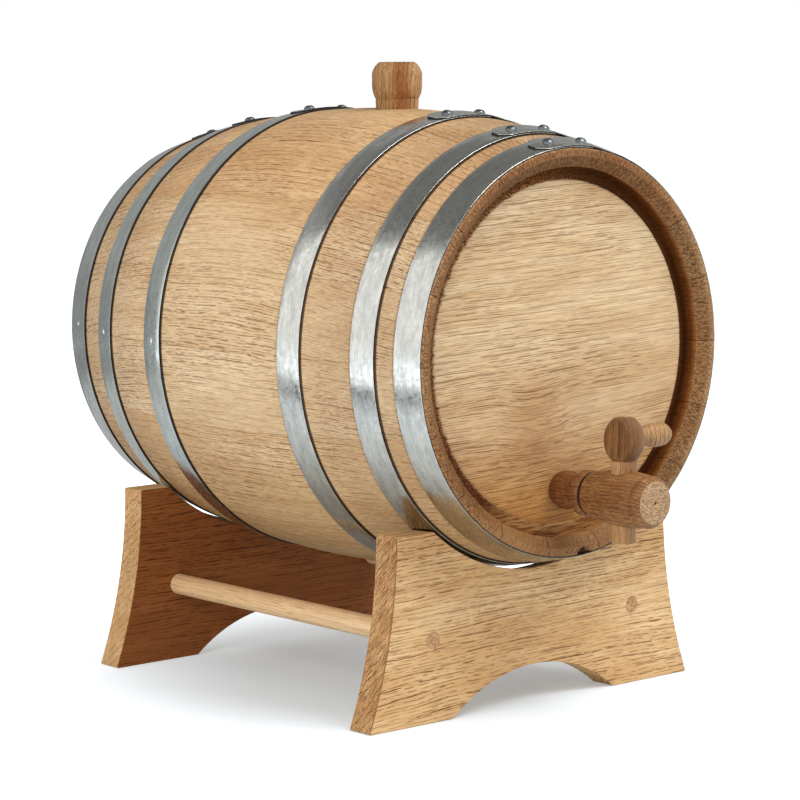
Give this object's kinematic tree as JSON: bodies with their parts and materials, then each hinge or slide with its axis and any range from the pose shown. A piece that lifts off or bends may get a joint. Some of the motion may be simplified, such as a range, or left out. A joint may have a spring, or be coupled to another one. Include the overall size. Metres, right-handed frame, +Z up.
{
  "type": "oak cask liquor dispenser",
  "caption": "Coopered oak cask lying in a two-board stand, with a turned wooden tap in its front head and a turned bung on top, for serving spirits",
  "frame": {"origin": "on the table, under the middle of the whole object's box, so half-way between the tap's nose and the rear end of the cask", "axes": "+Z up; the cask lies along Y with its tapped front head towards -Y; +X is to the right for someone who faces the tap, and the key's handle points that way at rest"},
  "size_m": [0.2224, 0.3194, 0.301],
  "materials": {
    "stave_oak": "sanded oak, oiled",
    "head_oak": "sanded oak, oiled",
    "hoop_steel": "galvanised steel strip",
    "rivet_steel": "bright steel",
    "bung_wood": "turned hardwood, oiled",
    "tap_wood": "turned hardwood, oiled",
    "key_wood": "turned hardwood, oiled",
    "stand_oak": "sanded oak, stained",
    "dowel_beech": "planed beech"
  },
  "bodies": {
    "stand": {"front_stand_board": "stand_oak", "rear_stand_board": "stand_oak", "left_stand_dowel": "dowel_beech", "right_stand_dowel": "dowel_beech"},
    "cask": {"bung_stave": "stave_oak", "front_bilge_hoop": "hoop_steel", "front_chime_hoop": "hoop_steel", "front_head_bottom_board": "head_oak", "front_head_middle_board": "head_oak", "front_head_top_board": "head_oak", "front_quarter_hoop": "hoop_steel", "head_pins": "dowel_beech", "hoop_rivets": "rivet_steel", "rear_bilge_hoop": "hoop_steel", "rear_chime_hoop": "hoop_steel", "rear_head_bottom_board": "head_oak", "rear_head_middle_board": "head_oak", "rear_head_top_board": "head_oak", "rear_quarter_hoop": "hoop_steel", "stave_02": "stave_oak", "stave_03": "stave_oak", "stave_04": "stave_oak", "stave_05": "stave_oak", "stave_06": "stave_oak", "stave_07": "stave_oak", "stave_08": "stave_oak", "stave_09": "stave_oak", "stave_10": "stave_oak", "stave_11": "stave_oak", "stave_12": "stave_oak", "stave_13": "stave_oak", "stave_14": "stave_oak", "stave_15": "stave_oak", "stave_16": "stave_oak", "stave_17": "stave_oak", "stave_18": "stave_oak", "tap_body": "tap_wood"},
    "bung": {"bung": "bung_wood"},
    "key": {"tap_key": "key_wood", "tap_key_handle": "key_wood"}
  },
  "joints": [
    {"name": "cask_lift", "type": "slide", "parent": "stand", "child": "cask", "axis": [0, 0, 1], "range_m": [0, 0.1]},
    {"name": "bung_pull", "type": "slide", "parent": "cask", "child": "bung", "axis": [0, 0, 1], "range_m": [0, 0.05]},
    {"name": "key_turn", "type": "hinge", "parent": "cask", "child": "key", "pos_m": [0, -0.1395, 0.1037], "axis": [0, 0, 1], "continuous": true}
  ]
}
